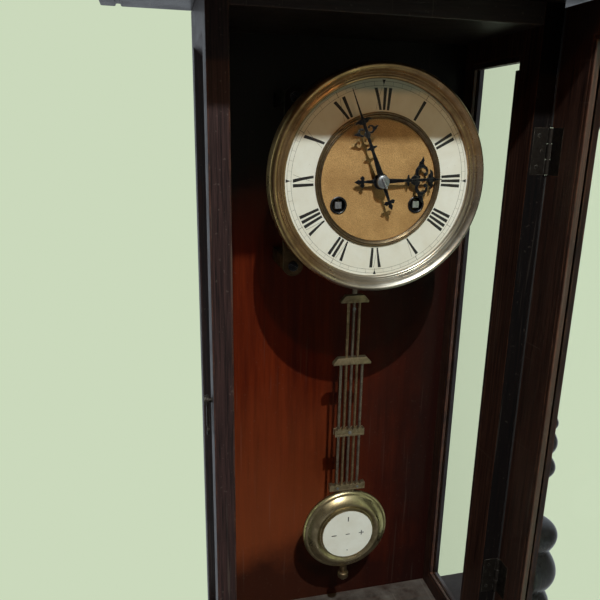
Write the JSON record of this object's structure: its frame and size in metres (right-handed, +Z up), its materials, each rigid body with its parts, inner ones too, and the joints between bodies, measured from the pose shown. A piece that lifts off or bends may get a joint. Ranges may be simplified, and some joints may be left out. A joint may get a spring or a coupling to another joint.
{
  "type": "pendulum wall clock",
  "caption": "Glazed wooden wall clock with a side-hung door, round dial with hands, spring-driven striking movement and a gridiron pendulum, hung on the wall by a keyhole plate.",
  "frame": {"origin": "centre of the hanger plate's round hole, on the wall plane", "axes": "+Z up, +Y into the wall, the dial faces -Y, +X to the viewer's right"},
  "size_m": [0.41, 0.399, 0.965],
  "materials": {
    "case_wood": "aged dark stain, worn varnish",
    "back_wood": "red mahogany stain, satin varnish",
    "turned_wood": "dark polish",
    "pane_glass": "clear",
    "bezel_brass": "aged, milled",
    "dial_white": "ivory enamel",
    "dial_gilt": "grained gilt",
    "hand_steel": "blackened",
    "bright_steel": "satin",
    "dark_iron": "dark",
    "bracket_bronze": "bronzed casting",
    "gong_steel": "blued",
    "movement_brass": "satin",
    "pendulum_brass": "tarnished"
  },
  "bodies": {
    "case": {"back_board": "back_wood", "left_side_frame": "case_wood", "right_side_frame": "case_wood", "top_board": "case_wood", "bottom_board": "case_wood", "side_glass": "pane_glass", "side_glass_beads": "case_wood", "cornice": "case_wood", "crest_board": "case_wood", "turned_finials": "turned_wood", "base_moulding": "case_wood", "base_console": "case_wood", "hanger_plate": "dark_iron", "case_hinges": "dark_iron", "movement_bracket": "bracket_bronze", "gong_block": "bracket_bronze", "gong_coil": "gong_steel", "front_plate": "movement_brass", "back_plate": "movement_brass", "pillars": "bright_steel", "suspension_cock": "movement_brass", "chapter_ring": "dial_white", "bezel": "bezel_brass", "centre_disc": "dial_gilt", "centre_ring": "bezel_brass", "winding_grommets": "bezel_brass", "latch_screw": "dark_iron"},
    "centre_arbor": {"centre_wheel": "movement_brass"},
    "minute_arbor": {"cannon_pinion": "movement_brass", "minute_hand": "hand_steel", "hand_nut": "bright_steel"},
    "hour_pipe": {"hour_wheel": "movement_brass", "hour_hand": "hand_steel"},
    "minute_wheel": {"minute_wheel": "movement_brass"},
    "third_wheel": {"third_wheel": "movement_brass"},
    "escape_wheel": {"escape_wheel": "movement_brass"},
    "time_barrel": {"time_barrel": "movement_brass"},
    "strike_barrel": {"strike_barrel": "movement_brass"},
    "time_winding_arbor": {"time_winding_arbor": "bright_steel"},
    "strike_winding_arbor": {"strike_winding_arbor": "bright_steel"},
    "anchor": {"anchor": "bright_steel"},
    "pendulum": {"suspension_spring": "bright_steel", "pendulum_hook": "bright_steel", "crossbars": "pendulum_brass", "brass_rods": "pendulum_brass", "steel_rods": "bright_steel", "bob_shell": "pendulum_brass", "bob_disc": "dial_white"},
    "rating_nut": {"rating_nut": "pendulum_brass"},
    "strike_hammer": {"strike_hammer": "bright_steel"},
    "door": {"door_stiles": "case_wood", "door_rails": "case_wood", "door_glass": "pane_glass", "door_beads": "case_wood", "door_columns": "turned_wood", "door_hinges": "dark_iron", "latch_stud": "dark_iron"},
    "latch_hook": {"latch_hook": "dark_iron"}
  },
  "joints": [
    {"name": "door_hinge", "type": "hinge", "parent": "case", "child": "door", "pos_m": [0.13375, -0.12525, -0.27], "axis": [0, 0, 1], "range_deg": [-90, 75]},
    {"name": "latch_turn", "type": "hinge", "parent": "case", "child": "latch_hook", "pos_m": [-0.136, -0.106, -0.268], "axis": [1, 0, 0], "range_deg": [-90, 15]},
    {"name": "minute_hand_turn", "type": "hinge", "parent": "case", "child": "minute_arbor", "pos_m": [0, -0.107, -0.095], "axis": [0, 1, 0], "continuous": true},
    {"name": "centre_wheel_turn", "type": "hinge", "parent": "case", "child": "centre_arbor", "pos_m": [0, -0.107, -0.095], "axis": [0, 1, 0], "continuous": true},
    {"name": "hour_hand_turn", "type": "hinge", "parent": "case", "child": "hour_pipe", "pos_m": [0, -0.107, -0.095], "axis": [0, 1, 0], "continuous": true},
    {"name": "minute_wheel_turn", "type": "hinge", "parent": "case", "child": "minute_wheel", "pos_m": [0, -0.107, -0.113], "axis": [0, 1, 0], "continuous": true},
    {"name": "third_wheel_turn", "type": "hinge", "parent": "case", "child": "third_wheel", "pos_m": [-0.01333, -0.107, -0.08012], "axis": [0, 1, 0], "continuous": true},
    {"name": "escape_wheel_turn", "type": "hinge", "parent": "case", "child": "escape_wheel", "pos_m": [0, -0.107, -0.0704], "axis": [0, 1, 0], "continuous": true},
    {"name": "time_barrel_turn", "type": "hinge", "parent": "case", "child": "time_barrel", "pos_m": [0.0322, -0.107, -0.1135], "axis": [0, 1, 0], "continuous": true},
    {"name": "strike_barrel_turn", "type": "hinge", "parent": "case", "child": "strike_barrel", "pos_m": [-0.0322, -0.107, -0.1135], "axis": [0, 1, 0], "continuous": true},
    {"name": "time_winding", "type": "hinge", "parent": "case", "child": "time_winding_arbor", "pos_m": [0.0322, -0.107, -0.1135], "axis": [0, 1, 0], "continuous": true},
    {"name": "strike_winding", "type": "hinge", "parent": "case", "child": "strike_winding_arbor", "pos_m": [-0.0322, -0.107, -0.1135], "axis": [0, 1, 0], "continuous": true},
    {"name": "pendulum_swing", "type": "hinge", "parent": "case", "child": "pendulum", "pos_m": [0, -0.061, -0.052], "axis": [0, 1, 0], "range_deg": [-3, 3]},
    {"name": "anchor_rock", "type": "hinge", "parent": "case", "child": "anchor", "pos_m": [0, -0.067, -0.052], "axis": [0, 1, 0], "range_deg": [-3, 3]},
    {"name": "rating_nut_turn", "type": "hinge", "parent": "pendulum", "child": "rating_nut", "pos_m": [0, -0.061, -0.494], "axis": [0, 0, 1], "continuous": true},
    {"name": "hammer_lift", "type": "hinge", "parent": "case", "child": "strike_hammer", "pos_m": [-0.0475, -0.022, -0.101], "axis": [0, 1, 0], "range_deg": [-1.5, 15]}
  ],
  "couplings": [
    {"joint": "hour_hand_turn", "follows": "minute_hand_turn", "ratio": 0.083333},
    {"joint": "minute_wheel_turn", "follows": "minute_hand_turn", "ratio": -0.33333},
    {"joint": "third_wheel_turn", "follows": "escape_wheel_turn", "ratio": -0.1},
    {"joint": "centre_wheel_turn", "follows": "escape_wheel_turn", "ratio": 0.0125},
    {"joint": "time_barrel_turn", "follows": "escape_wheel_turn", "ratio": -0.0013889},
    {"joint": "anchor_rock", "follows": "pendulum_swing", "ratio": 1}
  ]
}
